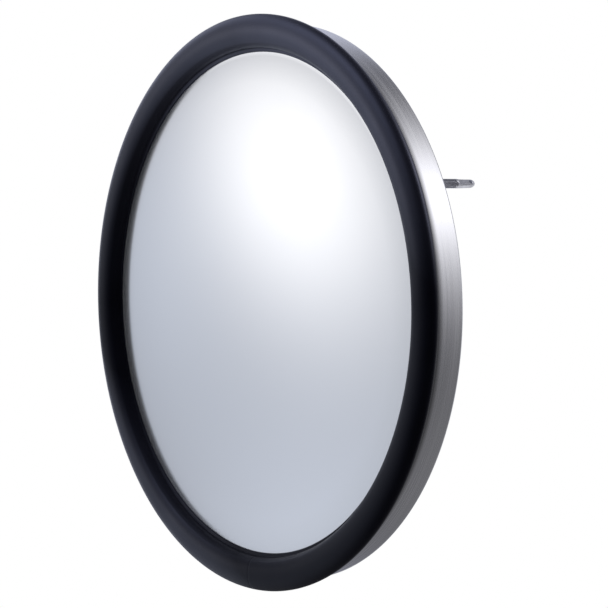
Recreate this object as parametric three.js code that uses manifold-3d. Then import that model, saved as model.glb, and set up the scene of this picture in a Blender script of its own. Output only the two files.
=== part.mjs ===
// Convex traffic mirror, 450 mm: domed steel face and deep-drawn back pan held together by a rubber
// edging, on a tilting bracket that clamps to a bent round-steel arm with a threaded end.
// Millimetres, +Z up. The mirror faces -Y. Origin: on the arm's axis, in the plane of the front
// washer's rear face, which is where the arm is pulled against the panel or post plate that carries it.
import * as THREE from "three";
import { mergeVertices } from "three/addons/utils/BufferGeometryUtils.js";
import Module from "manifold-3d";

const wasm = await Module();
wasm.setup();

// ---- driving dimensions -------------------------------------------------------------------------
const R_OUT = 225; // outer radius of the rubber edging
const BULB_A = 12.7; // rubber bulb, half width along the radius
const BULB_B = 7.0; // rubber bulb, half depth
const BULB_R = R_OUT - BULB_A; // radius of the bulb's centre line, which lies at y = 0 of the head
const DATUM_R = 195.5; // circle that fixes the depth of the mirror surface
const DATUM_Y = 4.2; // depth of the surface there
const FACE_RC = 2000; // radius of curvature of the mirror face
const SHEET = 1.0; // sheet thickness of face and pan
const FLANGE_R = 220.6; // outer radius of both flanges, inside the rubber
const FACE_FLANGE_Y = 1.3; // front of the face's flange
const PAN_FLANGE_Y = 2.6; // front of the pan's flange
const BAND_R = 218.3; // outer radius of the pan's side wall
const PAN_BACK_Y = 31.0; // outer face of the pan's back
const PAN_CORNER = 1.8; // outer corner radius of the pan
const BEAD_R = [139, 153]; // stiffening groove rolled into the pan's back
const BEAD_DEPTH = 1.6;
const GAP = 0.3; // clearance between neighbouring pieces

const PLATE_W = 96; // reinforcement plate inside the pan
const PLATE_T = 2;
const STUD_X = 27;
const STUD_Z = 28;
const STUD_R = 3; // M6
const STUD_END_Y = 45;

const BRACKET_W = 76; // bracket base, x
const BRACKET_H = 78; // bracket base, z
const BRACKET_T = 3;
const EAR_IN = 12.8; // inner face of each ear, from the middle plane
const EAR_R = 12;
const PIVOT_Y = 62; // tilt axis, parallel to x at z = 0
const PIVOT_HOLE_R = 4.45;
const TILT_BOLT_R = 4; // M8

const ROD_R = 4; // round steel arm
const LEG_Y = 90; // axis of the arm's upright leg
const LEG_LOW_Z = -80;
const ARM_Z = 94.3; // height of the arm's level leg
const BEND_R = 20; // centre-line radius of the bend
const TIP_Y = 232.8; // end of the threaded leg
const TAPER_Y = 212; // where the lead-in taper begins
const FLAT_D = 2.15; // distance of the milled flat from the arm's axis
const FLAT_ANGLE = 46; // direction of the flat's normal above +x
const THREAD_Y = 146; // where the thread begins
const SEAT_Y = 168; // rear face of the front washer
const PANEL_GAP = 8; // space between the two washers

const SLEEVE_R = 6.5; // grip sleeve on the upright leg
const SLEEVE_BORE = 4.37;
const SLEEVE_HALF = 15.6;
const SLEEVE_LIP_R = 8.6;
const SLEEVE_LIP_T = 2;
const CLAMP_HALF_Z = 15.3;
const CLAMP_HALF_X = 25;
const CLAMP_T = 9.5;
const CLAMP_BORE = 6.9;
const CLAMP_BOLT_X = 17.6;
const NOSE_HALF = 11.0; // half width of the clamp's nose between the friction washers

// ---- materials ----------------------------------------------------------------------------------
const mat = (color, roughness, metalness) => () =>
  new THREE.MeshStandardMaterial({ color, roughness, metalness });
const MIRROR = mat(0xdfe4ea, 0.04, 1);
const RUBBER = mat(0x14161f, 0.5, 0);
const BRUSHED = mat(0xb9b9bf, 0.32, 1);
const ZINC = mat(0xa9acb4, 0.38, 1);
const PLATED = mat(0x9a9db0, 0.35, 1);
const FOAM = mat(0xe9e9e4, 0.9, 0);
const NYLON = mat(0x1c1c1e, 0.55, 0);
const FIBRE = mat(0x2e2622, 0.8, 0);

// ---- geometry helpers ---------------------------------------------------------------------------
function solid(geometry) {
  const g = geometry.clone();
  g.deleteAttribute("normal");
  g.deleteAttribute("uv");
  const m = mergeVertices(g, 1e-4);
  let made = new wasm.Manifold(
    new wasm.Mesh({
      numProp: 3,
      vertProperties: new Float32Array(m.attributes.position.array),
      triVerts: new Uint32Array(m.index.array),
    }),
  );
  return made;
}
function geometryOf(manifold) {
  const mesh = manifold.getMesh();
  const pos = new Float32Array(mesh.triVerts.length * 3);
  for (let i = 0; i < mesh.triVerts.length; i++)
    for (let k = 0; k < 3; k++)
      pos[3 * i + k] = mesh.vertProperties[mesh.triVerts[i] * mesh.numProp + k];
  const g = new THREE.BufferGeometry();
  g.setAttribute("position", new THREE.BufferAttribute(pos, 3));
  g.computeVertexNormals();
  return g;
}
const union = (...gs) => gs.map(solid).reduce((a, b) => a.add(b));
const cut = (from, ...gs) => gs.map(solid).reduce((a, b) => a.subtract(b), from);

// A closed profile of [radius, height] turned round the y axis, with its faces outward.
function turned(profile, segments) {
  let area = 0;
  profile.forEach(([r, y], i) => {
    const [r2, y2] = profile[(i + 1) % profile.length];
    area += r * y2 - r2 * y;
  });
  const pts = area > 0 ? profile.slice() : profile.slice().reverse();
  const onAxis = pts.filter(([r]) => r === 0).length > 0;
  if (onAxis) {
    // start and end on the axis
    while (!(pts[0][0] === 0 && pts[pts.length - 1][0] === 0)) pts.push(pts.shift());
  } else pts.push(pts[0]);
  return new THREE.LatheGeometry(
    pts.map(([r, y]) => new THREE.Vector2(r, y)),
    segments,
  );
}
// A ring or disc between two heights, along y.
const ringY = (rIn, rOut, y0, y1, segments = 24) =>
  turned(
    rIn > 0
      ? [
          [rIn, y0],
          [rOut, y0],
          [rOut, y1],
          [rIn, y1],
        ]
      : [
          [0, y0],
          [rOut, y0],
          [rOut, y1],
          [0, y1],
        ],
    segments,
  );
const toX = (g) => g.rotateZ(-Math.PI / 2); // y axis becomes x axis
const toZ = (g) => g.rotateX(Math.PI / 2); // y axis becomes z axis
const box = (x0, x1, y0, y1, z0, z1) =>
  new THREE.BoxGeometry(x1 - x0, y1 - y0, z1 - z0).translate(
    (x0 + x1) / 2,
    (y0 + y1) / 2,
    (z0 + z1) / 2,
  );
function roundedShape(w, h, r) {
  const s = new THREE.Shape();
  s.moveTo(-w / 2 + r, -h / 2);
  s.lineTo(w / 2 - r, -h / 2);
  s.absarc(w / 2 - r, -h / 2 + r, r, -Math.PI / 2, 0, false);
  s.lineTo(w / 2, h / 2 - r);
  s.absarc(w / 2 - r, h / 2 - r, r, 0, Math.PI / 2, false);
  s.lineTo(-w / 2 + r, h / 2);
  s.absarc(-w / 2 + r, h / 2 - r, r, Math.PI / 2, Math.PI, false);
  s.lineTo(-w / 2, -h / 2 + r);
  s.absarc(-w / 2 + r, -h / 2 + r, r, Math.PI, 1.5 * Math.PI, false);
  return s;
}
function hole(shape, x, y, r) {
  const p = new THREE.Path();
  p.absarc(x, y, r, 0, Math.PI * 2, true);
  shape.holes.push(p);
}
// A flat plate in the xz plane, from y0 to y0 + t.
const plateY = (shape, y0, t, curveSegments = 6) =>
  new THREE.ExtrudeGeometry(shape, { depth: t, bevelEnabled: false, curveSegments })
    .rotateX(Math.PI / 2)
    .translate(0, y0 + t, 0);
// Hexagon of the given width across flats, along y.
function hexShape(af, rHole = 0) {
  const s = new THREE.Shape();
  const R = af / Math.sqrt(3);
  for (let i = 0; i < 6; i++) {
    const a = (Math.PI / 3) * i;
    if (i) s.lineTo(R * Math.cos(a), R * Math.sin(a));
    else s.moveTo(R, 0);
  }
  s.closePath();
  if (rHole) hole(s, 0, 0, rHole);
  return s;
}
const hexY = (af, y0, y1, rHole = 0, curveSegments = 6) =>
  plateY(hexShape(af, rHole), y0, y1 - y0, curveSegments);

const head = new THREE.Group();
const clamp = new THREE.Group();
const sleeve = new THREE.Group();
const arm = new THREE.Group();
function put(group, name, geometry, material) {
  const mesh = new THREE.Mesh(geometry, material());
  mesh.name = name;
  group.add(mesh);
  return mesh;
}

// ---- mirror face --------------------------------------------------------------------------------
const apex = DATUM_Y - (FACE_RC - Math.sqrt(FACE_RC ** 2 - DATUM_R ** 2));
const domeY = (r) => apex + FACE_RC - Math.sqrt(FACE_RC ** 2 - r * r);
const BIG = 52; // facets of the large rings
{
  const front = [0, 45, 90, 130, 165, 195.5, 198.6].map((r) => [r, domeY(r)]);
  const profile = [
    ...front,
    [201.2, 4.2],
    [206.2, 1.9],
    [208.8, FACE_FLANGE_Y],
    [FLANGE_R, FACE_FLANGE_Y],
    [FLANGE_R, FACE_FLANGE_Y + SHEET],
    [209.2, FACE_FLANGE_Y + SHEET],
    [206.9, 2.8],
    [201.7, 5.2],
    [198.5, domeY(198.5) + SHEET],
    ...[165, 130, 90, 45, 0].map((r) => [r, domeY(r) + SHEET]),
  ];
  put(head, "mirror_face", turned(profile, BIG), MIRROR);
}

// ---- rubber edging: bulb, thin lip on the face, groove round both flanges -------------------------
{
  const bulb = [58, 42, 26, 10, -10, -30, -50, -70, -90, -110, -130, -146].map((deg) => {
    const a = (deg * Math.PI) / 180;
    return [BULB_R + BULB_A * Math.cos(a), BULB_B * Math.sin(a)];
  });
  bulb[3] = [R_OUT, 0.6]; // the widest circle
  const profile = [
    ...bulb,
    [200.5, -2.4],
    [199.5, -0.8],
    [199.0, 0.9],
    [198.8, 2.3],
    [198.3, 2.9],
    [197.2, 3.0],
    [196.3, 3.3],
    [195.9, 3.8],
    [198.4, domeY(198.4) - GAP - 0.05],
    [200.9, 3.9],
    [206.0, 1.5],
    [208.7, FACE_FLANGE_Y - GAP],
    [FLANGE_R + 0.35, FACE_FLANGE_Y - GAP],
    [FLANGE_R + 0.35, PAN_FLANGE_Y + SHEET + GAP],
    [BAND_R + 0.32, PAN_FLANGE_Y + SHEET + GAP],
    [BAND_R + 0.32, 6.02],
  ];
  put(head, "rubber_edging", turned(profile, BIG), RUBBER);
}

// ---- back pan -----------------------------------------------------------------------------------
{
  const [b0, b1] = BEAD_R;
  const corner = (r, n) =>
    Array.from({ length: n + 1 }, (_, i) => {
      const a = (Math.PI / 2) * (i / n);
      return [
        BAND_R - PAN_CORNER + r * Math.cos(a),
        PAN_BACK_Y - PAN_CORNER + r * Math.sin(a),
      ];
    });
  const outer = [
    [FLANGE_R, PAN_FLANGE_Y],
    [FLANGE_R, PAN_FLANGE_Y + SHEET],
    [BAND_R, PAN_FLANGE_Y + SHEET],
    ...corner(PAN_CORNER, 4),
    [b1, PAN_BACK_Y],
    [b1 - 2, PAN_BACK_Y - BEAD_DEPTH],
    [b0 + 2, PAN_BACK_Y - BEAD_DEPTH],
    [b0, PAN_BACK_Y],
    [0, PAN_BACK_Y],
    [0, PAN_BACK_Y - SHEET],
    [b0 + 0.6, PAN_BACK_Y - SHEET],
    [b0 + 2.6, PAN_BACK_Y - SHEET - BEAD_DEPTH],
    [b1 - 2.6, PAN_BACK_Y - SHEET - BEAD_DEPTH],
    [b1 - 0.6, PAN_BACK_Y - SHEET],
    ...corner(PAN_CORNER - SHEET, 2).reverse(),
    [BAND_R - SHEET, PAN_FLANGE_Y],
  ];
  let pan = solid(turned(outer, BIG));
  for (const sx of [-1, 1])
    for (const sz of [-1, 1])
      pan = cut(
        pan,
        ringY(0, STUD_R + 0.5, 25, 35, 16).translate(sx * STUD_X, 0, sz * STUD_Z),
      );
  put(head, "back_pan", geometryOf(pan), BRUSHED);
}

// ---- inside the head: foam pad, reinforcement plate and its four studs ------------------------------
const PLATE_Y1 = PAN_BACK_Y - SHEET - GAP; // rear face of the plate
const PLATE_Y0 = PLATE_Y1 - PLATE_T;
{
  const r = [0, 20, 40];
  const profile = [
    ...r.map((q) => [q, domeY(q) + SHEET + GAP + 0.1]),
    [40, PLATE_Y0 - GAP],
    [0, PLATE_Y0 - GAP],
  ];
  put(head, "foam_pad", turned(profile, 32), FOAM);

  const s = roundedShape(PLATE_W, PLATE_W, 8);
  for (const sx of [-1, 1]) for (const sz of [-1, 1]) hole(s, sx * STUD_X, sz * STUD_Z, STUD_R + 0.35);
  put(head, "reinforcement_plate", plateY(s, PLATE_Y0, PLATE_T, 5), ZINC);
}

// ---- tilt bracket ---------------------------------------------------------------------------------
const BASE_Y0 = PAN_BACK_Y + GAP;
const BASE_Y1 = BASE_Y0 + BRACKET_T;
{
  const base = roundedShape(BRACKET_W, BRACKET_H, 9);
  let b = solid(plateY(base, BASE_Y0, BRACKET_T, 5));
  // an ear, drawn in (z, y) and extruded along x
  const ear = () => {
    const s = new THREE.Shape();
    s.moveTo(-22, BASE_Y0 + 0.5);
    s.lineTo(22, BASE_Y0 + 0.5);
    s.lineTo(EAR_R, PIVOT_Y - 4);
    s.absarc(0, PIVOT_Y, EAR_R, 0, Math.PI, false);
    s.lineTo(-EAR_R, PIVOT_Y - 4);
    s.closePath();
    hole(s, 0, PIVOT_Y, PIVOT_HOLE_R);
    const g = new THREE.ExtrudeGeometry(s, { depth: BRACKET_T, bevelEnabled: false, curveSegments: 10 });
    // shape x is z, shape y is y, depth is x
    return g.applyMatrix4(
      new THREE.Matrix4().set(0, 0, 1, 0, 0, 1, 0, 0, -1, 0, 0, 0, 0, 0, 0, 1),
    );
  };
  b = b.add(solid(ear().translate(EAR_IN, 0, 0)));
  b = b.add(solid(ear().translate(-EAR_IN - BRACKET_T, 0, 0)));
  for (const sx of [-1, 1])
    for (const sz of [-1, 1])
      b = cut(
        b,
        ringY(0, STUD_R + 0.5, 25, 40, 16).translate(sx * STUD_X, 0, sz * STUD_Z),
      );
  put(head, "tilt_bracket", geometryOf(b), ZINC);
}
{
  let i = 0;
  for (const sz of [1, -1])
    for (const sx of [-1, 1]) {
      i++;
      const at = (g) => g.translate(sx * STUD_X, 0, sz * STUD_Z);
      const stud = [
        [0, PLATE_Y0],
        [STUD_R, PLATE_Y0],
        [STUD_R, STUD_END_Y - 0.8],
        [STUD_R - 0.8, STUD_END_Y],
        [0, STUD_END_Y],
      ];
      put(head, "mount_stud_" + i, at(turned(stud, 16)), ZINC);
      const y = BASE_Y1 + GAP;
      put(head, "spring_washer_" + i, at(ringY(STUD_R + 0.4, 5.6, y, y + 1.6, 16)), ZINC);
      put(head, "mount_nut_" + i, at(hexY(10, y + 1.9, y + 6.9, STUD_R + 0.35, 4)), ZINC);
    }
}

// ---- tilt pivot ------------------------------------------------------------------------------------
{
  const at = (g) => toX(g).translate(0, PIVOT_Y, 0);
  const earOut = EAR_IN + BRACKET_T;
  const w0 = earOut + GAP;
  const w1 = w0 + 1.6;
  // bolt: head on the -x side
  const bolt = union(
    hexY(13, -(w1 + GAP) - 5.3, -(w1 + GAP)),
    turned(
      [
        [0, -(w1 + GAP) - 0.5],
        [TILT_BOLT_R, -(w1 + GAP) - 0.5],
        [TILT_BOLT_R, 27],
        [TILT_BOLT_R - 1, 28],
        [0, 28],
      ],
      20,
    ),
  );
  put(head, "tilt_bolt", at(geometryOf(bolt)), ZINC);
  put(head, "tilt_washer_head", at(ringY(TILT_BOLT_R + 0.35, 8, -w1, -w0, 24)), ZINC);
  put(head, "tilt_washer_nut", at(ringY(TILT_BOLT_R + 0.35, 8, w0, w1, 24)), ZINC);
  put(head, "tilt_nut", at(hexY(13, w1 + GAP, w1 + GAP + 6.5, TILT_BOLT_R + 0.35, 5)), ZINC);
  put(clamp, "friction_washer_left", at(ringY(4.5, 10, -(NOSE_HALF + GAP + 1.2), -(NOSE_HALF + GAP), 24)), FIBRE);
  put(clamp, "friction_washer_right", at(ringY(4.5, 10, NOSE_HALF + GAP, NOSE_HALF + GAP + 1.2, 24)), FIBRE);
}

// ---- rod clamp: body with the pivot nose, cap, two bolts ---------------------------------------------
const PAD_Y0 = LEG_Y - 0.4 - CLAMP_T;
const PAD_Y1 = LEG_Y - 0.4;
const CAP_Y0 = LEG_Y + 0.4;
const CAP_Y1 = LEG_Y + 0.4 + CLAMP_T;
{
  const bore = () => toZ(ringY(0, CLAMP_BORE, -40, 40, 24)).translate(0, LEG_Y, 0);
  const pad = (y0, y1) => {
    // rounded in the xz plane
    return plateY(roundedShape(2 * CLAMP_HALF_X, 2 * CLAMP_HALF_Z, 5), y0, y1 - y0, 4);
  };
  const nose = new THREE.Shape();
  nose.moveTo(-11, PAD_Y0 + 1);
  nose.lineTo(-11, PIVOT_Y);
  nose.absarc(0, PIVOT_Y, 11, Math.PI, 2 * Math.PI, false);
  nose.lineTo(11, PAD_Y0 + 1);
  nose.closePath();
  hole(nose, 0, PIVOT_Y, PIVOT_HOLE_R);
  const noseG = new THREE.ExtrudeGeometry(nose, { depth: 2 * NOSE_HALF, bevelEnabled: false, curveSegments: 10 })
    .applyMatrix4(new THREE.Matrix4().set(0, 0, 1, 0, 0, 1, 0, 0, -1, 0, 0, 0, 0, 0, 0, 1))
    .translate(-NOSE_HALF, 0, 0);
  const boltHole = (sx) => ringY(0, 3.4, PAD_Y0 - 5, CAP_Y1 + 5, 16).translate(sx * CLAMP_BOLT_X, 0, 0);
  const body = cut(solid(pad(PAD_Y0, PAD_Y1)).add(solid(noseG)), bore(), boltHole(-1), boltHole(1));
  put(clamp, "clamp_body", geometryOf(body), ZINC);
  const cap = cut(solid(pad(CAP_Y0, CAP_Y1)), bore(), boltHole(-1), boltHole(1));
  put(clamp, "clamp_cap", geometryOf(cap), ZINC);
  ["left", "right"].forEach((side, i) => {
    const x = (i ? 1 : -1) * CLAMP_BOLT_X;
    const at = (g) => g.translate(x, 0, 0);
    const y1 = CAP_Y1 + GAP;
    const bolt = union(
      hexY(10, PAD_Y0 - GAP - 4, PAD_Y0 - GAP),
      turned(
        [
          [0, PAD_Y0 - GAP - 0.5],
          [3, PAD_Y0 - GAP - 0.5],
          [3, y1 + 9.4],
          [2.2, y1 + 10.2],
          [0, y1 + 10.2],
        ],
        16,
      ),
    );
    put(clamp, "clamp_bolt_" + side, at(geometryOf(bolt)), ZINC);
    put(clamp, "clamp_washer_" + side, at(ringY(3.35, 6, y1, y1 + 1.6, 16)), ZINC);
    put(clamp, "clamp_nut_" + side, at(hexY(10, y1 + 1.9, y1 + 6.9, 3.35, 4)), ZINC);
  });
}

// ---- grip sleeve: split nylon bush with two lips, captive in the clamp --------------------------------
{
  const h = SLEEVE_HALF;
  const profile = [
    [SLEEVE_BORE, -h - SLEEVE_LIP_T],
    [SLEEVE_LIP_R, -h - SLEEVE_LIP_T],
    [SLEEVE_LIP_R, -h],
    [SLEEVE_R, -h],
    [SLEEVE_R, h],
    [SLEEVE_LIP_R, h],
    [SLEEVE_LIP_R, h + SLEEVE_LIP_T],
    [SLEEVE_BORE, h + SLEEVE_LIP_T],
  ];
  const s = cut(
    solid(toZ(turned(profile, 24)).translate(0, LEG_Y, 0)),
    box(3, 12, LEG_Y - 0.9, LEG_Y + 0.9, -30, 30),
  );
  put(sleeve, "grip_sleeve", geometryOf(s), NYLON);
}

// ---- arm -------------------------------------------------------------------------------------------------
// Centre line: up the leg, round the bend, back along the level leg; one point per section.
class ArmPath extends THREE.Curve {
  constructor() {
    super();
    this.p = [new THREE.Vector3(0, LEG_Y, LEG_LOW_Z)];
    for (let i = 0; i <= 9; i++) {
      const a = (Math.PI / 2) * (i / 9);
      this.p.push(
        new THREE.Vector3(
          0,
          LEG_Y + BEND_R * (1 - Math.cos(a)),
          ARM_Z - BEND_R + BEND_R * Math.sin(a),
        ),
      );
    }
    this.p.push(new THREE.Vector3(0, TAPER_Y, ARM_Z));
  }
  get steps() {
    return this.p.length - 1;
  }
  getPoint(t, target = new THREE.Vector3()) {
    const u = Math.min(Math.max(t, 0), 1) * this.steps;
    const i = Math.min(Math.floor(u), this.steps - 1);
    return target.lerpVectors(this.p[i], this.p[i + 1], u - i);
  }
  getUtoTmapping(u) {
    return u;
  }
}
{
  const path = new ArmPath();
  const section = new THREE.Shape();
  for (let i = 0; i < 20; i++) {
    const a = (Math.PI * 2 * i) / 20;
    if (i) section.lineTo(ROD_R * Math.cos(a), ROD_R * Math.sin(a));
    else section.moveTo(ROD_R, 0);
  }
  section.closePath();
  const rod = new THREE.ExtrudeGeometry(section, {
    steps: path.steps,
    extrudePath: path,
    bevelEnabled: false,
  });
  const end = turned(
    [
      [0, TAPER_Y - 1],
      [ROD_R, TAPER_Y - 1],
      [ROD_R, TAPER_Y],
      [3.72, TIP_Y - 11],
      [3.55, TIP_Y - 4.5],
      [2.9, TIP_Y - 1.8],
      [1.7, TIP_Y],
      [0, TIP_Y],
    ],
    20,
  ).translate(0, 0, ARM_Z);
  // a flat milled along the upper side of the end, to hold the arm with a spanner
  const flat = box(FLAT_D, 8, TIP_Y - 19, TIP_Y - 4.2, -8, 8)
    .rotateY((-FLAT_ANGLE * Math.PI) / 180)
    .translate(0, 0, ARM_Z);
  put(arm, "arm_rod", geometryOf(cut(union(rod, end), flat)), PLATED);

  const capProfile = [
    [0, LEG_LOW_Z - 2.5],
    [5, LEG_LOW_Z - 2.5],
    [6, LEG_LOW_Z - 1.5],
    [6, LEG_LOW_Z + 14],
    [SLEEVE_BORE, LEG_LOW_Z + 14],
    [SLEEVE_BORE, LEG_LOW_Z - GAP],
    [0, LEG_LOW_Z - GAP],
  ];
  put(arm, "end_cap", toZ(turned(capProfile, 20)).translate(0, LEG_Y, 0), NYLON);

  const at = (g) => g.translate(0, 0, ARM_Z);
  put(arm, "front_nut", at(hexY(13, SEAT_Y - 2 - GAP - 6.5, SEAT_Y - 2 - GAP, SLEEVE_BORE, 6)), ZINC);
  put(arm, "front_washer", at(ringY(SLEEVE_BORE, 12, SEAT_Y - 2, SEAT_Y, 32)), ZINC);
  put(arm, "rear_washer", at(ringY(SLEEVE_BORE, 12, SEAT_Y + PANEL_GAP, SEAT_Y + PANEL_GAP + 2, 32)), ZINC);
  put(arm, "rear_nut", at(hexY(13, SEAT_Y + PANEL_GAP + 2 + GAP, SEAT_Y + PANEL_GAP + 2 + GAP + 6.5, SLEEVE_BORE, 6)), ZINC);
}

// ---- assembly ----------------------------------------------------------------------------------------------
// The groups are drawn about the centre of the rubber ring and moved together to the row origin.
const mirror = new THREE.Group();
clamp.add(head);
sleeve.add(clamp);
arm.add(sleeve);
mirror.add(arm);
mirror.position.set(0, -SEAT_Y, -ARM_Z);
export default mirror;
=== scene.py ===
# Looks of the 450 mm convex traffic mirror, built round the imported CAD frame.
import math

import bmesh
import bpy
import numpy as np
from mathutils import Matrix, Vector


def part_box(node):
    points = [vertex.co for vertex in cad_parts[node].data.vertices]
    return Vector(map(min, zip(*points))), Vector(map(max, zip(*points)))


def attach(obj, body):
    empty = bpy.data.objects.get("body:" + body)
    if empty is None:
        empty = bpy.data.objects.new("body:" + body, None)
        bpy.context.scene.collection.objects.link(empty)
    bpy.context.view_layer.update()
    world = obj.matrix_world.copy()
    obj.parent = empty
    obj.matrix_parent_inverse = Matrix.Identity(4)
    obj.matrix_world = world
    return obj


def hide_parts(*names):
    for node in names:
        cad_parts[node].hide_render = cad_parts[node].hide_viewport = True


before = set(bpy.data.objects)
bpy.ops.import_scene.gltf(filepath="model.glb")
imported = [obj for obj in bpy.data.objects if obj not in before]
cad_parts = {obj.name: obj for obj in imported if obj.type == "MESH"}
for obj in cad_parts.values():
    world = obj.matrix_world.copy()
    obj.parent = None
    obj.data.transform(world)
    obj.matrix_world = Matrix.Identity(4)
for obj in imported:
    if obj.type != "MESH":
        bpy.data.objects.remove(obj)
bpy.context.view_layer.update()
scene = bpy.context.scene
scene.view_settings.view_transform = "Standard"
scene.view_settings.look = "None"

# ---------------------------------------------------------------- positions taken from the frame
lo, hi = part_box("rubber_edging")
CX, CZ = (lo[0] + hi[0]) / 2, (lo[2] + hi[2]) / 2  # mirror centre
SEAT_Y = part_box("front_washer")[1][1]  # zero: the arm's seat
MM = 0.001
CY = -0.168  # the rubber bulb's centre plane
LEG_Y = (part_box("end_cap")[0][1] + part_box("end_cap")[1][1]) / 2
PIVOT_Y = (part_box("tilt_washer_nut")[0][1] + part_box("tilt_washer_nut")[1][1]) / 2


def P(x, y, z):
    """Millimetres about the mirror's centre to metres in the row frame."""
    return (x * MM + CX, y * MM + CY, z * MM + CZ)


# ---------------------------------------------------------------- mesh helpers
def val(f, t):
    return f(t) if callable(f) else f


def turn(rows, n=64, closed=True, angles=None):
    """Rows of (y, r), each a number or a function of the angle, turned round the y axis, in mm."""
    ang = angles if angles is not None else [2 * math.pi * i / n for i in range(n)]
    n = len(ang)
    verts, faces, ring = [], [], []
    for y, r in rows:
        if not callable(r) and r == 0:
            ring.append([len(verts)] * n)
            verts.append((0, val(y, 0), 0))
        else:
            ring.append(list(range(len(verts), len(verts) + n)))
            verts += [
                (val(r, a) * math.cos(a), val(y, a), val(r, a) * math.sin(a)) for a in ang
            ]
    pairs = list(zip(ring, ring[1:])) + ([(ring[-1], ring[0])] if closed else [])
    for a, b in pairs:
        for i in range(n):
            j = (i + 1) % n
            q = []
            for k in (a[i], a[j], b[j], b[i]):
                if k not in q:
                    q.append(k)
            if len(q) > 2:
                faces.append(q)
    return verts, faces


def to_x(verts):
    return [(y, -x, z) for x, y, z in verts]


def to_z(verts):
    return [(x, -z, y) for x, y, z in verts]


def shift(verts, x=0.0, y=0.0, z=0.0):
    return [(a + x, b + y, c + z) for a, b, c in verts]


def finish_mesh(me, sharp):
    bm = bmesh.new()
    bm.from_mesh(me)
    bmesh.ops.recalc_face_normals(bm, faces=bm.faces)
    for f in bm.faces:
        f.smooth = True
    for e in bm.edges:
        e.smooth = not (len(e.link_faces) == 2 and e.calc_face_angle(0) > math.radians(sharp))
    bm.to_mesh(me)
    bm.free()


def make(name, verts, faces, mat, body, slot, nodes, sharp=32):
    me = bpy.data.meshes.new(name)
    me.from_pydata([P(*v) for v in verts], [], faces)
    me.validate()
    finish_mesh(me, sharp)
    ob = bpy.data.objects.new(name, me)
    scene.collection.objects.link(ob)
    me.materials.append(mat)
    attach(ob, body)
    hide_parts(*nodes)
    return ob


def refined(node, name, mat, body, width=0.4, segs=3, sharp=38, angle=34):
    """A CAD node's own solid, welded, with its flats merged and its edges rounded."""
    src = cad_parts[node]
    bm = bmesh.new()
    bm.from_mesh(src.data)
    bmesh.ops.remove_doubles(bm, verts=bm.verts, dist=2e-6)
    bmesh.ops.dissolve_limit(
        bm, angle_limit=math.radians(0.6), verts=bm.verts, edges=bm.edges, use_dissolve_boundaries=False
    )
    edges = [
        e
        for e in bm.edges
        if len(e.link_faces) == 2 and e.calc_face_angle(0) > math.radians(angle)
    ]
    bmesh.ops.bevel(
        bm,
        geom=edges,
        offset=width * MM,
        offset_type="OFFSET",
        segments=segs,
        profile=0.5,
        affect="EDGES",
        clamp_overlap=True,
    )
    me = bpy.data.meshes.new(name)
    bm.to_mesh(me)
    bm.free()
    finish_mesh(me, sharp)
    ob = bpy.data.objects.new(name, me)
    scene.collection.objects.link(ob)
    me.materials.clear()
    me.materials.append(mat)
    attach(ob, body)
    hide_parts(node)
    return ob


def arc(cx, cy, r, a0, a1, n):
    return [
        (
            cx + r * math.cos(math.radians(a0 + (a1 - a0) * i / n)),
            cy + r * math.sin(math.radians(a0 + (a1 - a0) * i / n)),
        )
        for i in range(n + 1)
    ]


def smooth_line(pts, n=5):
    """Catmull-Rom through the points."""
    out = []
    p = [pts[0]] + list(pts) + [pts[-1]]
    for i in range(1, len(p) - 2):
        a, b, c, d = (np.array(p[i + k], float) for k in (-1, 0, 1, 2))
        for k in range(n):
            t = k / n
            out.append(
                tuple(
                    0.5
                    * (2 * b + (c - a) * t + (2 * a - 5 * b + 4 * c - d) * t * t + (3 * b - a - 3 * c + d) * t**3)
                )
            )
    out.append(tuple(pts[-1]))
    return out


def rows_of(profile):
    return [(y, r) for r, y in profile]


# ---------------------------------------------------------------- materials
def new_mat(name):
    m = bpy.data.materials.new(name)
    m.use_nodes = True
    nt = m.node_tree
    return m, nt, nt.nodes["Principled BSDF"]


def node(nt, kind, **props):
    n = nt.nodes.new(kind)
    ins = props.pop("inputs", {})
    for k, v in props.items():
        setattr(n, k, v)
    for k, v in ins.items():
        n.inputs[k].default_value = v
    return n


def noise(nt, vec, scale, detail=3.0, rough=0.5, dist=0.0):
    n = node(nt, "ShaderNodeTexNoise", inputs={"Scale": scale, "Detail": detail, "Roughness": rough, "Distortion": dist})
    nt.links.new(vec, n.inputs["Vector"])
    return n.outputs["Fac"]


def scaled(nt, vec, s):
    m = node(nt, "ShaderNodeMapping")
    m.inputs["Scale"].default_value = s
    nt.links.new(vec, m.inputs["Vector"])
    return m.outputs["Vector"]


def ramp(nt, fac, stops):
    r = node(nt, "ShaderNodeValToRGB")
    els = r.color_ramp.elements
    while len(els) < len(stops):
        els.new(0.5)
    for e, (p, c) in zip(els, stops):
        e.position = p
        e.color = (*c, 1) if len(c) == 3 else c
    nt.links.new(fac, r.inputs["Fac"])
    return r.outputs["Color"]


def grey(v):
    return (v, v, v)


def math_node(nt, op, a, b=None, clamp=False):
    n = node(nt, "ShaderNodeMath", operation=op, use_clamp=clamp)
    for i, v in enumerate((a, b)):
        if v is None:
            continue
        if isinstance(v, (int, float)):
            n.inputs[i].default_value = v
        else:
            nt.links.new(v, n.inputs[i])
    return n.outputs[0]


def mix_val(nt, fac, a, b):
    n = node(nt, "ShaderNodeMix", data_type="FLOAT")
    for s, v in (("Factor", fac), ("A", a), ("B", b)):
        if isinstance(v, (int, float)):
            n.inputs[s].default_value = v
        else:
            nt.links.new(v, n.inputs[s])
    return n.outputs[0]


def bump(nt, height, strength, distance, normal=None):
    b = node(nt, "ShaderNodeBump", inputs={"Strength": strength, "Distance": distance})
    nt.links.new(height, b.inputs["Height"])
    if normal is not None:
        nt.links.new(normal, b.inputs["Normal"])
    return b.outputs["Normal"]


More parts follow.
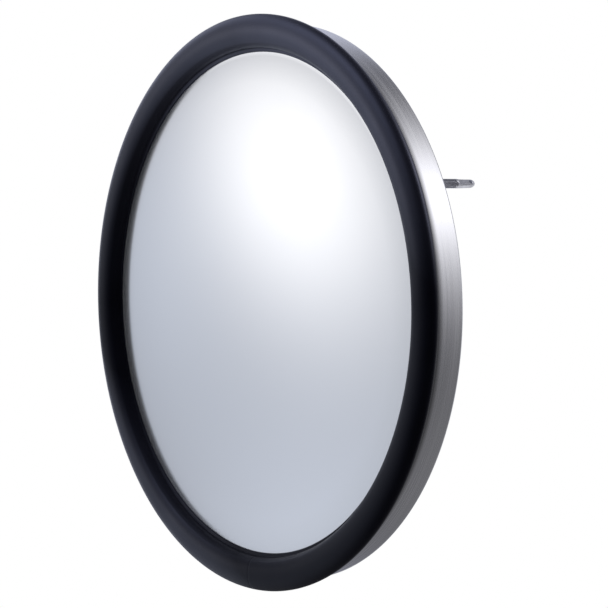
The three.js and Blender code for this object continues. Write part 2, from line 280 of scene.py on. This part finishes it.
def coords(nt):
    return node(nt, "ShaderNodeTexCoord").outputs["Object"]


def mirror_material():
    m, nt, b = new_mat("polished_stainless")
    co = coords(nt)
    haze = noise(nt, co, 9.0, 3)
    b.inputs["Base Color"].default_value = (0.93, 0.94, 0.945, 1)
    b.inputs["Specular IOR Level"].default_value = 0.2
    # the polish is a little hazier along the rubber, where it is hard to buff
    off = node(nt, "ShaderNodeVectorMath", operation="SUBTRACT")
    nt.links.new(co, off.inputs[0])
    off.inputs[1].default_value = P(0, 0, 0)
    flat = node(nt, "ShaderNodeVectorMath", operation="MULTIPLY")
    nt.links.new(off.outputs[0], flat.inputs[0])
    flat.inputs[1].default_value = (1 / 0.2, 0, 1 / 0.2)
    rad = node(nt, "ShaderNodeVectorMath", operation="LENGTH")
    nt.links.new(flat.outputs[0], rad.inputs[0])
    edge = ramp(nt, rad.outputs["Value"], [(0.86, grey(0.0)), (0.97, grey(1.0))])
    r = ramp(nt, haze, [(0.35, grey(0.11)), (0.7, grey(0.14))])
    nt.links.new(mix_val(nt, edge, r, 0.2), b.inputs["Roughness"])
    nt.links.new(mix_val(nt, edge, 0.93, 0.87), b.inputs["Metallic"])
    wave = noise(nt, co, 14.0, 1)
    nt.links.new(bump(nt, wave, 0.02, 0.0006), b.inputs["Normal"])
    return m


def rubber_material():
    """Near-black moulded rubber with a painted highlight: its specular level is raised along the top of the ring,
    standing in for the light that falls there.
    """
    m, nt, b = new_mat("edging_rubber")
    co = coords(nt)
    big = noise(nt, co, 22.0, 4, 0.55)
    fine = noise(nt, co, 2600.0, 2, 0.6)
    col = ramp(nt, big, [(0.3, (0.0018, 0.0019, 0.0042)), (0.75, (0.0032, 0.0034, 0.0072))])
    nt.links.new(col, b.inputs["Base Color"])
    rr = ramp(nt, big, [(0.25, grey(0.36)), (0.8, grey(0.46))])
    nt.links.new(rr, b.inputs["Roughness"])
    b.inputs["IOR"].default_value = 1.6
    b.inputs["Specular Tint"].default_value = (0.70, 0.73, 1.0, 1)
    sep = node(nt, "ShaderNodeSeparateXYZ")
    nt.links.new(co, sep.inputs[0])
    height = math_node(nt, "MULTIPLY", math_node(nt, "SUBTRACT", sep.outputs["Z"], CZ - 0.225), 1 / 0.45, clamp=True)
    b.inputs["Specular IOR Level"].default_value = 0.35
    # painted highlight: the specular level rises towards the top of the ring, standing in for light falling on the top
    painted_sheen = ramp(nt, height, [(0.0, grey(0.16)), (0.2, grey(0.14)), (0.5, grey(0.12)), (0.66, grey(0.32)), (0.8, grey(0.5)), (0.9, grey(0.7)), (1.0, grey(1.0))])
    # painted highlight: the specular level is raised in an area low on the -x side, standing in for a highlight that
    # the lights do not give there
    away = node(nt, "ShaderNodeVectorMath", operation="DOT_PRODUCT")
    nt.links.new(co, away.inputs[0])
    away.inputs[1].default_value = (-0.64, 0, -0.77)
    along = math_node(nt, "MULTIPLY", math_node(nt, "SUBTRACT", away.outputs["Value"], -0.64 * CX - 0.77 * CZ), 1 / 0.212, clamp=True)
    painted_highlight_low = ramp(nt, along, [(0.80, grey(0.0)), (0.97, grey(0.45))])
    # painted highlight: the specular level is also raised in an area high on the +x side, standing in for a highlight
    # there
    up = node(nt, "ShaderNodeVectorMath", operation="DOT_PRODUCT")
    nt.links.new(co, up.inputs[0])
    up.inputs[1].default_value = (0.64, 0, 0.77)
    rise = math_node(nt, "MULTIPLY", math_node(nt, "SUBTRACT", up.outputs["Value"], 0.64 * CX + 0.77 * CZ), 1 / 0.212, clamp=True)
    painted_highlight_high = ramp(nt, rise, [(0.72, grey(0.0)), (0.96, grey(0.6))])
    # the two painted highlight areas, added to the painted top highlight below
    both = math_node(nt, "ADD", painted_highlight_low, painted_highlight_high)
    nt.links.new(math_node(nt, "ADD", painted_sheen, both), b.inputs["Specular IOR Level"])
    n1 = bump(nt, fine, 0.10, 0.00012)
    nt.links.new(bump(nt, big, 0.16, 0.0011, n1), b.inputs["Normal"])
    return m


def brushed_material():
    """Brushing runs round the side wall and straight across the back."""
    m, nt, b = new_mat("brushed_stainless")
    co = coords(nt)
    side_f = noise(nt, scaled(nt, co, (5.0, 1500.0, 5.0)), 1.0, 5, 0.65)
    side_c = noise(nt, scaled(nt, co, (3.0, 260.0, 3.0)), 1.0, 3, 0.6)
    back_f = noise(nt, scaled(nt, co, (14.0, 3.0, 2600.0)), 1.0, 5, 0.65)
    back_c = noise(nt, scaled(nt, co, (4.0, 3.0, 300.0)), 1.0, 3, 0.6)
    g = node(nt, "ShaderNodeNewGeometry")
    sep = node(nt, "ShaderNodeSeparateXYZ")
    nt.links.new(g.outputs["True Normal"], sep.inputs[0])
    flat = math_node(nt, "GREATER_THAN", math_node(nt, "ABSOLUTE", sep.outputs["Y"]), 0.9)
    f = mix_val(nt, flat, side_f, back_f)
    c = mix_val(nt, flat, side_c, back_c)
    both = mix_val(nt, 0.45, f, c)
    col = ramp(nt, both, [(0.3, (0.56, 0.56, 0.585)), (0.5, (0.64, 0.64, 0.665)), (0.72, (0.72, 0.72, 0.74))])
    # painted shade: the wall's colour is darkened where it runs in under the rubber, standing in for the rubber's shade
    # and its dark reflection on the wall; the rolled edge at the back keeps its full colour
    ysep = node(nt, "ShaderNodeSeparateXYZ")
    nt.links.new(co, ysep.inputs[0])
    depth = math_node(nt, "MULTIPLY", math_node(nt, "SUBTRACT", ysep.outputs["Y"], CY), 1 / 0.034, clamp=True)
    painted_shade_under_rubber = ramp(nt, depth, [(0.17, grey(0.08)), (0.235, grey(0.2)), (0.294, grey(0.55)), (0.36, grey(0.95)), (0.4, grey(1.0))])
    mul = node(nt, "ShaderNodeMix", data_type="RGBA", blend_type="MULTIPLY")
    mul.inputs["Factor"].default_value = 1.0
    nt.links.new(col, mul.inputs[6])
    nt.links.new(painted_shade_under_rubber, mul.inputs[7])
    nt.links.new(mul.outputs[2], b.inputs["Base Color"])
    b.inputs["Metallic"].default_value = 1.0
    rr = ramp(nt, both, [(0.3, grey(0.21)), (0.7, grey(0.33))])
    nt.links.new(rr, b.inputs["Roughness"])
    b.inputs["Anisotropic"].default_value = 0.65
    t = node(nt, "ShaderNodeTangent", direction_type="RADIAL", axis="Y")
    nt.links.new(t.outputs[0], b.inputs["Tangent"])
    nt.links.new(bump(nt, f, 0.12, 0.00008), b.inputs["Normal"])
    return m


def zinc_material(name, tint=(0.53, 0.545, 0.575), rough=(0.28, 0.42)):
    m, nt, b = new_mat(name)
    co = coords(nt)
    blot = noise(nt, co, 90.0, 4, 0.6)
    fine = noise(nt, co, 1500.0, 2, 0.5)
    hi_c = tuple(min(1, c * 1.22) for c in tint)
    lo_c = tuple(c * 0.8 for c in tint)
    nt.links.new(ramp(nt, blot, [(0.3, lo_c), (0.5, tint), (0.75, hi_c)]), b.inputs["Base Color"])
    b.inputs["Metallic"].default_value = 1.0
    nt.links.new(ramp(nt, blot, [(0.3, grey(rough[1])), (0.75, grey(rough[0]))]), b.inputs["Roughness"])
    nt.links.new(bump(nt, fine, 0.15, 0.00006), b.inputs["Normal"])
    return m


def plastic_material(name, c0, c1, rough=0.5, grain=1800.0, depth=0.00008):
    m, nt, b = new_mat(name)
    co = coords(nt)
    big = noise(nt, co, 60.0, 3)
    fine = noise(nt, co, grain, 2)
    nt.links.new(ramp(nt, big, [(0.3, c0), (0.75, c1)]), b.inputs["Base Color"])
    nt.links.new(ramp(nt, fine, [(0.3, grey(rough - 0.06)), (0.7, grey(rough + 0.08))]), b.inputs["Roughness"])
    nt.links.new(bump(nt, fine, 0.3, depth), b.inputs["Normal"])
    return m


MIRROR = mirror_material()
RUBBER = rubber_material()
BRUSHED = brushed_material()
ZINC = zinc_material("zinc_plate")
BOLT = zinc_material("fastener_zinc", (0.58, 0.585, 0.60), (0.24, 0.36))
ROD = zinc_material("arm_steel", (0.70, 0.705, 0.76), (0.36, 0.48))
NYLON = plastic_material("black_nylon", (0.012, 0.012, 0.013), (0.022, 0.022, 0.024), 0.42)
FIBRE = plastic_material("friction_fibre", (0.06, 0.045, 0.035), (0.11, 0.085, 0.065), 0.8, 700.0, 0.0002)
FOAM = plastic_material("pad_foam", (0.78, 0.78, 0.75), (0.88, 0.88, 0.85), 0.85, 420.0, 0.0006)

# ---------------------------------------------------------------- head: face, edging, pan
RC, LIP_R, LIP_Y = 2000.0, 195.5, 4.2
APEX = LIP_Y - (RC - math.sqrt(RC**2 - LIP_R**2))


def dome(r):
    return APEX + RC - math.sqrt(RC**2 - r * r)


FLANGE_R, BAND_R, BACK_Y, CORNER, T = 220.6, 218.3, 31.0, 1.8, 1.0
FACE_FL, PAN_FL = 1.3, 2.6

radii = [0] + [198.6 * (i / 34) for i in range(1, 35)]
face_front = [(r, dome(r)) for r in radii] + smooth_line(
    [(198.6, dome(198.6)), (201.2, 4.2), (203.7, 3.1), (206.2, 1.9), (208.8, 1.3)], 3
)[1:]
face = face_front + [(FLANGE_R, FACE_FL), (FLANGE_R, FACE_FL + T), (209.2, FACE_FL + T), (206.9, 2.8), (201.7, 5.2)]
face += [(r, dome(r) + T) for r in reversed(radii[::2])]
make("mirror_face_fine", *turn(rows_of(face), 192, closed=False), MIRROR, "head", "mirror_steel", ["mirror_face"])

# rubber: the bulb is an ellipse, the lip a rounded bead lying on the face
A, B, BR = 12.7, 7.0, 212.3
bulb = [
    (BR + A * math.cos(math.radians(d)), B * math.sin(math.radians(d))) for d in np.arange(59.5, -147, -3.5)
]
lip = smooth_line(
    [
        bulb[-1],
        (200.5, -2.4),
        (199.5, -0.8),
        (199.0, 0.9),
        (198.8, 2.25),
        (198.35, 2.85),
        (197.3, 3.0),
        (196.4, 3.2),
        (195.95, 3.65),
        (195.9, dome(195.9) - 0.06),
    ],
    4,
)[1:]
under = [
    (198.4, dome(198.4) - 0.08),
    (200.9, 4.05),
    (206.0, 1.7),
    (208.7, FACE_FL - 0.1),
    (FLANGE_R + 0.1, FACE_FL - 0.1),
    (FLANGE_R + 0.1, PAN_FL + T + 0.1),
    (BAND_R + 0.06, PAN_FL + T + 0.1),
    (BAND_R + 0.06, 5.9),
]
edging = bulb + lip + under
joint = math.radians(-90.6)  # where the ends of the extruded strip meet
base = [2 * math.pi * i / 288 - math.pi for i in range(288)]
extra = [joint + math.radians(d) for d in (-0.5, -0.22, -0.09, 0, 0.09, 0.22, 0.5)]
angles = sorted([a for a in base if abs(a - joint) > math.radians(0.6)] + extra)


def seam(a):
    return math.exp(-(((a - joint) / math.radians(0.11)) ** 2))


def edging_row(r, y):
    cr, cy = BR, 0.0
    d = math.hypot(r - cr, y - cy) or 1
    if (r < 201 and y > 2.6) or (r > 217 and y > 3) or (y > 2.4 and r > 203):
        return (y, r)
    return (
        lambda a: y - 0.12 * seam(a) * (y - cy) / d,
        lambda a: r - 0.12 * seam(a) * (r - cr) / d,
    )


make(
    "rubber_edging_fine",
    *turn([edging_row(r, y) for r, y in edging], closed=True, angles=angles),
    RUBBER,
    "head",
    "edging_rubber",
    ["rubber_edging"],
    40,
)

b0, b1, bd = 139.0, 153.0, 1.6
pan = [(FLANGE_R, PAN_FL), (FLANGE_R, PAN_FL + T), (BAND_R, PAN_FL + T)]
pan += [(BAND_R, y) for y in (8, 14, 20, 25)]
pan += arc(BAND_R - CORNER, BACK_Y - CORNER, CORNER, 0, 90, 10)
pan += [(200, BACK_Y), (180, BACK_Y)]
pan += smooth_line(
    [(b1 + 0.6, BACK_Y), (b1 - 0.6, BACK_Y - 0.5), (b1 - 2.4, BACK_Y - bd), (b0 + 2.4, BACK_Y - bd), (b0 + 0.6, BACK_Y - 0.5), (b0 - 0.6, BACK_Y)],
    4,
)
pan += [(110, BACK_Y), (60, BACK_Y), (0, BACK_Y), (0, BACK_Y - T), (60, BACK_Y - T)]
pan += [(b0 + 0.4, BACK_Y - T), (b0 + 2.8, BACK_Y - T - bd), (b1 - 2.8, BACK_Y - T - bd), (b1 - 0.4, BACK_Y - T)]
pan += arc(BAND_R - CORNER, BACK_Y - CORNER, CORNER - T, 90, 0, 6)
pan += [(BAND_R - T, PAN_FL)]
# the profile is a strip from the axis, out round the wall and back to the axis
k = pan.index((0, BACK_Y))
strip = pan[k + 1 :] + pan[: k + 1]
make("back_pan_fine", *turn(rows_of(strip), 224, closed=False), BRUSHED, "head", "brushed_stainless", ["back_pan"], 30)

# ---------------------------------------------------------------- fasteners
def hex_r(af):
    def f(a):
        k = (a % (math.pi / 3)) - math.pi / 6
        return af / 2 / math.cos(k)

    return f


def nut_rows(af, h, hole):
    """A chamfered hexagon nut from y = 0 to h with a countersunk bore."""
    R = hex_r(af)
    rc = af * 0.475
    drop = lambda a: (R(a) - rc) * 0.5
    c = 0.6
    return [
        (c, hole),
        (0.0, hole + c),
        (0.0, rc),
        (drop, R),
        (lambda a: h - drop(a), R),
        (h, rc),
        (h, hole + c),
        (h - c, hole),
    ]


def thread_rows(r, pitch, y0, y1, depth, r_end=None):
    n = max(2, int(round((y1 - y0) / (pitch / 6))))
    out = []
    for i in range(n + 1):
        y = y0 + (y1 - y0) * i / n
        fade = min(1.0, (y - y0) / (1.2 * pitch))
        taper = 0 if r_end is None else (r - r_end) * (y - y0) / (y1 - y0)

        def rr(a, y=y, fade=fade, taper=taper):
            u = (y / pitch - a / (2 * math.pi)) % 1.0
            tri = abs(2 * u - 1)
            tri = min(1.0, max(0.0, (tri - 0.12) / 0.76))
            return r - taper - depth * fade * tri

        out.append((y, rr))
    return out


def bolt_rows(af, head, r, y_thread, y_end, pitch, depth):
    """Head from -head to 0, shank to y_end, thread from y_thread."""
    R = hex_r(af)
    rc = af * 0.475
    drop = lambda a: (R(a) - rc) * 0.5
    rows = [
        (-head + 0.25, 0),
        (-head + 0.25, rc * 0.55),
        (-head, rc * 0.62),
        (-head, rc),
        (lambda a: -head + drop(a), R),
        (-0.35, R),
        (0.0, lambda a: R(a) - 0.35),
        (0.0, r + 0.5),
        (0.5, r),
        (y_thread - 0.4, r),
    ]
    rows += thread_rows(r, pitch, y_thread, y_end - 0.9, depth)
    rows += [(y_end, r - 1.05), (y_end, 0)]
    return rows


def washer_rows(r_in, r_out, t):
    c = 0.22
    return [
        (0, r_in + c),
        (0, r_out - c),
        (c, r_out),
        (t - c, r_out),
        (t, r_out - c),
        (t, r_in + c),
        (t - c, r_in),
        (c, r_in),
    ]


def spring_washer(r_in, r_out, t, lift=0.45):
    """A split ring of rectangular section, its two ends sprung apart."""
    verts, faces = [], []
    n = 44
    c = 0.15
    sec = [(r_in, c), (r_in + c, 0), (r_out - c, 0), (r_out, c), (r_out, t - c), (r_out - c, t), (r_in + c, t), (r_in, t - c)]
    m = len(sec)
    for i in range(n + 1):
        a = math.radians(10 + 346 * i / n)
        s = (i / n - 0.5) * lift
        for r, y in sec:
            verts.append((r * math.cos(a), y + s, r * math.sin(a)))
    for i in range(n):
        for j in range(m):
            a, b = i * m + j, i * m + (j + 1) % m
            faces.append([a, b, b + m, a + m])
    faces.append(list(range(m)))
    faces.append([n * m + j for j in reversed(range(m))])
    return verts, faces


def place(name, data, at, mat, body, slot, nodes, axis="y", sharp=32, spin=0.0):
    verts, faces = data
    if spin:
        c, s = math.cos(spin), math.sin(spin)
        verts = [(x * c - z * s, y, x * s + z * c) for x, y, z in verts]
    if axis == "x":
        verts = to_x(verts)
    elif axis == "z":
        verts = to_z(verts)
    return make(name, shift(verts, *at), faces, mat, body, slot, nodes, sharp)


SX, SZ = 27.0, 28.0
PLATE_Y0 = BACK_Y - T - 0.3 - 2.0
BASE_Y0 = BACK_Y + 0.3
BASE_Y1 = BASE_Y0 + 3.0
i = 0
for sz in (1, -1):
    for sx in (-1, 1):
        i += 1
        at = (sx * SX, 0, sz * SZ)
        stud = [(PLATE_Y0, 0), (PLATE_Y0, 3.0), (BASE_Y0 - 0.2, 3.0)]
        stud += thread_rows(3.0, 1.0, BASE_Y0, 44.2, 0.55) + [(45.0, 2.1), (45.0, 0)]
        place(f"mount_stud_{i}_fine", turn(stud, 28, closed=False), at, BOLT, "head", "zinc_steel", [f"mount_stud_{i}"])
        place(
            f"spring_washer_{i}_fine",
            spring_washer(3.2, 5.6, 1.5, 0.3),
            (at[0], BASE_Y1 + 0.2, at[2]),
            BOLT,
            "head",
            "zinc_steel",
            [f"spring_washer_{i}"],
            spin=0.7 * i,
        )
        place(
            f"mount_nut_{i}_fine",
            turn(nut_rows(10, 5, 3.02), 72),
            (at[0], BASE_Y1 + 2.2, at[2]),
            BOLT,
            "head",
            "zinc_steel",
            [f"mount_nut_{i}"],
            spin=0.35 + 0.41 * i,
        )

# tilt pivot, along x
PV = 62.0
EAR_OUT = 12.8 + 3.0
w0 = EAR_OUT + 0.3
w1 = w0 + 1.6
place(
    "tilt_bolt_fine",
    turn(bolt_rows(13, 5.3, 4.0, 34.0, w1 + 0.3 + 28.0, 1.25, 0.72), 48, closed=False),
    (-(w1 + 0.3), PV, 0),
    BOLT,
    "head",
    "zinc_steel",
    ["tilt_bolt"],
    "x",
)
place("tilt_washer_head_fine", turn(washer_rows(4.1, 8, 1.6), 64), (-w1, PV, 0), BOLT, "head", "zinc_steel", ["tilt_washer_head"], "x")
place("tilt_washer_nut_fine", turn(washer_rows(4.1, 8, 1.6), 64), (w0, PV, 0), BOLT, "head", "zinc_steel", ["tilt_washer_nut"], "x")
place("tilt_nut_fine", turn(nut_rows(13, 6.5, 4.02), 72), (w1 + 0.3, PV, 0), BOLT, "head", "zinc_steel", ["tilt_nut"], "x", spin=0.3)
for side, x in (("left", -12.5), ("right", 11.3)):
    place(
        f"friction_washer_{side}_fine",
        turn(washer_rows(4.5, 10, 1.2), 64),
        (x, PV, 0),
        FIBRE,
        "clamp",
        "friction_fibre",
        [f"friction_washer_{side}"],
        "x",
    )

# clamp bolts, along y
LY = 90.0
PAD0 = LY - 0.4 - 9.5
CAP1 = LY + 0.4 + 9.5
for side, x in (("left", -17.6), ("right", 17.6)):
    place(
        f"clamp_bolt_{side}_fine",
        turn(bolt_rows(10, 4, 3.0, 15.0, CAP1 + 0.3 + 10.2 - (PAD0 - 0.3), 1.0, 0.55), 48, closed=False),
        (x, PAD0 - 0.3, 0),
        BOLT,
        "clamp",
        "zinc_steel",
        [f"clamp_bolt_{side}"],
    )
    place(f"clamp_washer_{side}_fine", turn(washer_rows(3.1, 6, 1.6), 56), (x, CAP1 + 0.3, 0), BOLT, "clamp", "zinc_steel", [f"clamp_washer_{side}"])
    place(
        f"clamp_nut_{side}_fine",
        turn(nut_rows(10, 5, 3.02), 72),
        (x, CAP1 + 2.2, 0),
        BOLT,
        "clamp",
        "zinc_steel",
        [f"clamp_nut_{side}"],
        spin=0.2 if side == "left" else 0.75,
    )

# seat washers and nuts on the arm
AZ = (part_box("front_washer")[0][2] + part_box("front_washer")[1][2] - 2 * CZ) / 2 / MM
TIP = (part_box("arm_rod")[1][1] - CY) / MM
place("front_nut_fine", turn(nut_rows(13, 6.5, 4.02), 72), (0, 159.2, AZ), BOLT, "arm", "zinc_steel", ["front_nut"], spin=0.2)
place("front_washer_fine", turn(washer_rows(4.2, 12, 2.0), 72), (0, 166.0, AZ), BOLT, "arm", "zinc_steel", ["front_washer"])
place("rear_washer_fine", turn(washer_rows(4.2, 12, 2.0), 72), (0, 176.0, AZ), BOLT, "arm", "zinc_steel", ["rear_washer"])
place("rear_nut_fine", turn(nut_rows(13, 6.5, 4.02), 72), (0, 178.3, AZ), BOLT, "arm", "zinc_steel", ["rear_nut"], spin=0.5)

# end cap: ribbed moulded cap with a domed end
cap = [(-82.5, 0), (-82.5, 3.6), (-82.2, 4.8), (-81.4, 5.6), (-80.2, 5.95)]
for k in range(5):
    z = -79.0 + 2.2 * k
    cap += [(z, 5.95), (z + 0.35, 5.6), (z + 0.95, 5.6), (z + 1.3, 5.95)]
cap += [(-67.0, 5.95), (-66.3, 5.75), (-66.0, 5.3), (-66.0, 4.3), (-66.4, 4.05), (-80.25, 4.05), (-80.25, 0)]
place("end_cap_fine", turn(cap, 48, closed=False), (0, LY, 0), NYLON, "arm", "black_nylon", ["end_cap"], "z", 50)


# ---------------------------------------------------------------- the arm
FLAT_A = math.radians(-46.0)  # the milled flat faces +x and up; the section's angle runs towards -z


def arm_mesh():
    n = 40
    bend = 20.0
    rows = []  # (centre, along, up, radius function)

    def add(c, t, r):
        t = np.array(t, float)
        u = np.array((1.0, 0, 0))
        v = np.cross(t, u)
        rows.append((np.array(c, float), u, v, r))

    add((0, LY, -80.0), (0, 0, 1), 3.4)
    add((0, LY, -79.4), (0, 0, 1), 4.0)
    for z in (-40, 0, 40):
        add((0, LY, z), (0, 0, 1), 4.0)
    for k in range(25):
        a = math.pi / 2 * k / 24
        add(
            (0, LY + bend * (1 - math.cos(a)), AZ - bend + bend * math.sin(a)),
            (0, math.sin(a), math.cos(a)),
            4.0,
        )
    add((0, 144.6, AZ), (0, 1, 0), 4.0)
    for y, r in thread_rows(3.98, 1.25, 146.0, 211.5, 0.62):
        add((0, y, AZ), (0, 1, 0), r)
    end = [(TIP - 20.0, 3.97), (TIP - 19.2, 3.97)]
    end += [(TIP - 19.0, 3.96), (TIP - 15, 3.84), (TIP - 11, 3.72), (TIP - 7, 3.62), (TIP - 4.6, 3.55)]
    end += [(TIP - 4.4, 3.53), (TIP - 3.6, 3.42), (TIP - 2.7, 3.2), (TIP - 1.7, 2.8), (TIP - 0.9, 2.3), (TIP - 0.3, 1.75), (TIP, 1.2)]
    for y, r in end:
        if TIP - 19.1 < y < TIP - 4.5:
            add((0, y, AZ), (0, 1, 0), lambda a, r=r: min(r, 2.15 / max(math.cos(a - FLAT_A), 0.01)))
        else:
            add((0, y, AZ), (0, 1, 0), r)
    verts, faces = [], []
    for c, u, v, r in rows:
        for i in range(n):
            a = 2 * math.pi * i / n
            verts.append(tuple(c + val(r, a) * (math.cos(a) * u + math.sin(a) * v)))
    for k in range(len(rows) - 1):
        for i in range(n):
            j = (i + 1) % n
            faces.append([k * n + i, k * n + j, (k + 1) * n + j, (k + 1) * n + i])
    faces.append(list(range(n)))
    faces.append([(len(rows) - 1) * n + i for i in reversed(range(n))])
    return verts, faces


make("arm_rod_fine", *arm_mesh(), ROD, "arm", "arm_steel", ["arm_rod"], 40)

# ---------------------------------------------------------------- pressed and machined pieces
refined("tilt_bracket", "tilt_bracket_fine", ZINC, "head", 0.45)
refined("reinforcement_plate", "reinforcement_plate_fine", ZINC, "head", 0.3)
refined("foam_pad", "foam_pad_fine", FOAM, "head", 0.8)
refined("clamp_body", "clamp_body_fine", ZINC, "clamp", 0.6)
refined("clamp_cap", "clamp_cap_fine", ZINC, "clamp", 0.7)
refined("grip_sleeve", "grip_sleeve_fine", NYLON, "sleeve", 0.3)

# ---------------------------------------------------------------- camera
az, el, roll = (math.radians(v) for v in (53.352, 1.2745, -1.1205))
back = Vector((math.sin(az) * math.cos(el), -math.cos(az) * math.cos(el), math.sin(el)))
target = Vector(P(0.3088 * 225, 0, -0.001 * 225))
right = (-back).cross(Vector((0, 0, 1))).normalized()
up = right.cross(-back)
r2 = math.cos(roll) * right + math.sin(roll) * up
u2 = -math.sin(roll) * right + math.cos(roll) * up
cam_data = bpy.data.cameras.new("camera")
cam_data.lens = 2200.0 / 608.0 * 36.0
cam_data.sensor_width = 36.0
cam_data.clip_start = 0.05
cam_data.clip_end = 60
cam = bpy.data.objects.new("camera", cam_data)
scene.collection.objects.link(cam)
loc = target + back * (7.4071 * 0.225)
cam.matrix_world = Matrix(
    (
        (r2.x, u2.x, back.x, loc.x),
        (r2.y, u2.y, back.y, loc.y),
        (r2.z, u2.z, back.z, loc.z),
        (0, 0, 0, 1),
    )
)
scene.camera = cam

# ---------------------------------------------------------------- studio: surroundings as soft lobes of light
world = bpy.data.worlds.new("studio")
scene.world = world
world.use_nodes = True
wt = world.node_tree
wt.nodes.clear()
gen = node(wt, "ShaderNodeTexCoord").outputs["Generated"]


def direction(azimuth, elevation):
    """Azimuth as atan2(x, -y): 0 is straight in front of the mirror, negative to its -x side."""
    a, e = math.radians(azimuth), math.radians(elevation)
    return Vector((math.sin(a) * math.cos(e), -math.cos(a) * math.cos(e), math.sin(e)))


def dot(v, d):
    n = node(wt, "ShaderNodeVectorMath", operation="DOT_PRODUCT")
    wt.links.new(v, n.inputs[0])
    n.inputs[1].default_value = d
    return n.outputs["Value"]


def lobe(d, su, sv, turn_deg=0.0):
    """A Gaussian patch of sky about direction d, su and sv degrees wide and high (standard deviations)."""
    u = Vector((0, 0, 1)).cross(d).normalized() if abs(d.z) < 0.99 else Vector((1, 0, 0))
    v = d.cross(u).normalized()
    c, s = math.cos(math.radians(turn_deg)), math.sin(math.radians(turn_deg))
    u, v = c * u + s * v, -s * u + c * v
    su, sv = math.sin(math.radians(su)), math.sin(math.radians(sv))
    a = dot(gen, u / su)
    b = dot(gen, v / sv)
    s = math_node(wt, "ADD", math_node(wt, "MULTIPLY", a, a), math_node(wt, "MULTIPLY", b, b))
    e = math_node(wt, "EXPONENT", math_node(wt, "MULTIPLY", s, -0.5))
    front = math_node(wt, "MULTIPLY", dot(gen, d), 4.0, clamp=True)
    return math_node(wt, "MULTIPLY", e, front)


def colour_times(fac, col):
    n = node(wt, "ShaderNodeVectorMath", operation="SCALE")
    n.inputs[0].default_value = col
    wt.links.new(fac, n.inputs["Scale"])
    return n.outputs["Vector"]


def add_vec(a, b):
    n = node(wt, "ShaderNodeVectorMath", operation="ADD")
    wt.links.new(a, n.inputs[0])
    wt.links.new(b, n.inputs[1])
    return n.outputs["Vector"]


SKY = [
    # what the face sees: azimuth, elevation, width, height, turn, colour
    (-50.3, 6.29, 7.85, 5.2, -26.1, (1.02, 0.995, 0.98)),
    (-65.6, 2.34, 7.09, 6.91, -2.5, (0.284, 0.308, 0.355)),
    (-51.93, -20.94, 14.89, 21.29, -37.8, (0.562, 0.603, 0.693)),
]
BAND_SKY = [
    # what the side band sees, as directions
    ((0.565, 0.63, 0.525), 12.6, 12.6, (2.25, 2.25, 2.3)),
    ((0.135, 0.605, 0.785), 7.5, 7.5, (0.18, 0.18, 0.19)),
    ((0.74, 0.65, 0.10), 13.0, 9.5, (0.21, 0.21, 0.225)),
    ((-0.60, 0.61, 0.52), 12.0, 11.0, (0.52, 0.54, 0.64)),
    ((-0.87, -0.10, 0.46), 10.0, 11.0, (0.7, 0.74, 0.9)),
    ((-0.45, -0.67, 0.60), 10.0, 10.0, (0.85, 0.9, 1.05)),
    ((-0.157, -0.86, 0.50), 9.0, 9.0, (0.2, 0.21, 0.26)),
    ((-0.80, 0.60, 0.05), 20.0, 17.0, (0.50, 0.53, 0.70)),
    ((-0.985, 0.14, 0.05), 9.0, 16.0, (1.1, 1.15, 1.36)),
    ((0.1, 0.62, -0.78), 30.0, 30.0, (0.08, 0.08, 0.08)),
    # and what the flat back sees
    ((0.0, 0.99, -0.12), 20.0, 19.0, (0.62, 0.62, 0.64)),
]
FILL = 0.07
total = colour_times(math_node(wt, "ADD", 1.0, 0.0), (FILL, FILL, FILL * 1.1))
for a, e, su, sv, t, c in SKY:
    total = add_vec(total, colour_times(lobe(direction(a, e), su, sv, t), c))
for d, su, sv, c in BAND_SKY:
    total = add_vec(total, colour_times(lobe(Vector(d).normalized(), su, sv), c))
bg = node(wt, "ShaderNodeBackground")
wt.links.new(total, bg.inputs["Color"])
white = node(wt, "ShaderNodeBackground", inputs={"Color": (1, 1, 1, 1), "Strength": 1.0})
lp = node(wt, "ShaderNodeLightPath")
mixb = node(wt, "ShaderNodeMixShader")
wt.links.new(lp.outputs["Is Camera Ray"], mixb.inputs[0])
wt.links.new(bg.outputs[0], mixb.inputs[1])
wt.links.new(white.outputs[0], mixb.inputs[2])
wout = node(wt, "ShaderNodeOutputWorld")
wt.links.new(mixb.outputs[0], wout.inputs[0])


def area_light(name, at, aim, size, power, color=(1, 1, 1), glossy=True, size_y=None):
    l = bpy.data.lights.new(name, "AREA")
    l.energy = power
    l.color = color
    l.shape = "RECTANGLE" if size_y else "DISK"
    l.size = size
    if size_y:
        l.size_y = size_y
    o = bpy.data.objects.new(name, l)
    scene.collection.objects.link(o)
    o.location = at
    o.rotation_euler = (Vector(aim) - Vector(at)).to_track_quat("-Z", "Y").to_euler()
    o.visible_glossy = glossy
    o.visible_camera = False
    return o


area_light("above", P(0, 60, 1500), P(0, 60, 0), 1.6, 32.0, glossy=False)
area_light("behind", P(0, 311, -34), P(0, 215, 94), 0.22, 0.07)

# ---------------------------------------------------------------- pale floor, fading out at its edge
def floor():
    me = bpy.data.meshes.new("floor")
    bm = bmesh.new()
    bmesh.ops.create_circle(bm, cap_ends=True, radius=1.0, segments=96)
    bm.to_mesh(me)
    bm.free()
    o = bpy.data.objects.new("floor", me)
    scene.collection.objects.link(o)
    o.location = P(0, 90, -225 - 330)
    m, nt, b = new_mat("floor_paper")
    co = coords(nt)
    b.inputs["Base Color"].default_value = (0.86, 0.86, 0.87, 1)
    b.inputs["Roughness"].default_value = 0.8
    n = node(nt, "ShaderNodeVectorMath", operation="LENGTH")
    nt.links.new(co, n.inputs[0])
    fade = ramp(nt, n.outputs["Value"], [(0.35, grey(1)), (0.98, grey(0))])
    nt.links.new(fade, b.inputs["Alpha"])
    me.materials.append(m)
    o.visible_glossy = False
    return o


floor()
